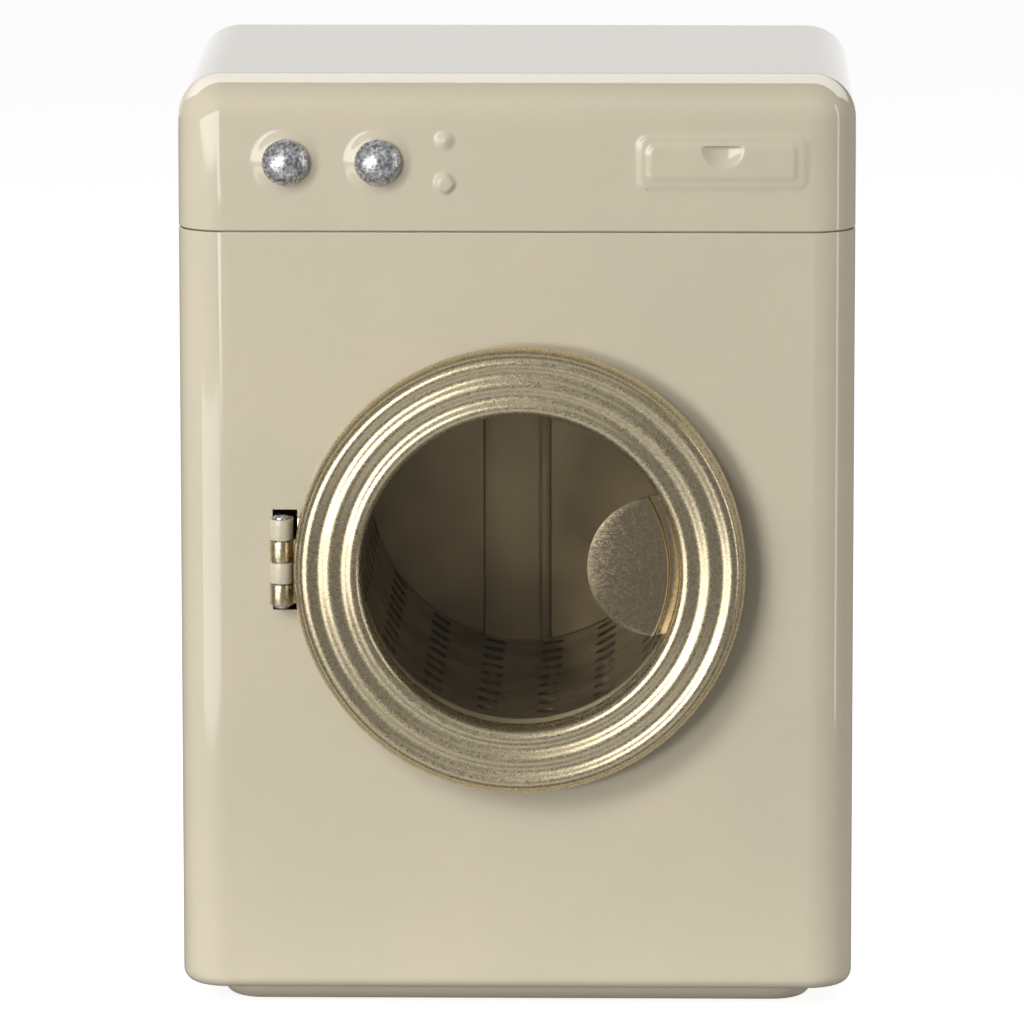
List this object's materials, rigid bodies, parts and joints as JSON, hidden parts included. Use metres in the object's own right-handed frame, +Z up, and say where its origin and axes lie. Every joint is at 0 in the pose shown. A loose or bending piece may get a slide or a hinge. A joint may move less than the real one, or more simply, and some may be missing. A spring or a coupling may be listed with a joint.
{
  "type": "toy washing machine",
  "caption": "Painted pressed-tin front-loading washing machine for a dolls' house, with a hinged round door, a perforated drum and domed knobs that turn",
  "frame": {"origin": "centre of the flat underside of the base", "axes": "+Z up, the door on the -Y side, +X to the right as seen from the front, so the door's hinge is at -X"},
  "size_m": [0.0864, 0.0674, 0.121],
  "materials": {
    "cream_paint": "gloss",
    "champagne_paint": "metallic gloss",
    "drum_tin": "satin lacquer",
    "clear_window": "clear",
    "silver_steel": "bright",
    "plain_steel": "satin",
    "magnet": "matte"
  },
  "bodies": {
    "cabinet": {"body_shell": "cream_paint", "top_cap": "cream_paint", "base_tray": "cream_paint", "drum": "drum_tin", "drum_front_collar": "cream_paint", "drum_rear_ring": "drum_tin", "body_hinge_leaf": "cream_paint", "hinge_pin": "silver_steel", "catch_magnet": "magnet", "magnet_cup": "plain_steel", "knob_washers": "plain_steel"},
    "door": {"door_ring": "champagne_paint", "door_back_ring": "champagne_paint", "window_pane": "clear_window", "handle_plate": "champagne_paint", "door_hinge_leaf": "champagne_paint", "door_leaf_rivets": "champagne_paint"},
    "left_knob": {"left_knob": "silver_steel", "left_knob_nut": "plain_steel"},
    "right_knob": {"right_knob": "silver_steel", "right_knob_nut": "plain_steel"}
  },
  "joints": [
    {"name": "door_hinge", "type": "hinge", "parent": "cabinet", "child": "door", "pos_m": [-0.03, -0.0322, 0.0589], "axis": [0, 0, -1], "range_deg": [0, 135]},
    {"name": "left_knob_turn", "type": "hinge", "parent": "cabinet", "child": "left_knob", "pos_m": [-0.0293, -0.031, 0.11025], "axis": [0, -1, 0], "continuous": true},
    {"name": "right_knob_turn", "type": "hinge", "parent": "cabinet", "child": "right_knob", "pos_m": [-0.01755, -0.031, 0.11025], "axis": [0, -1, 0], "continuous": true}
  ]
}
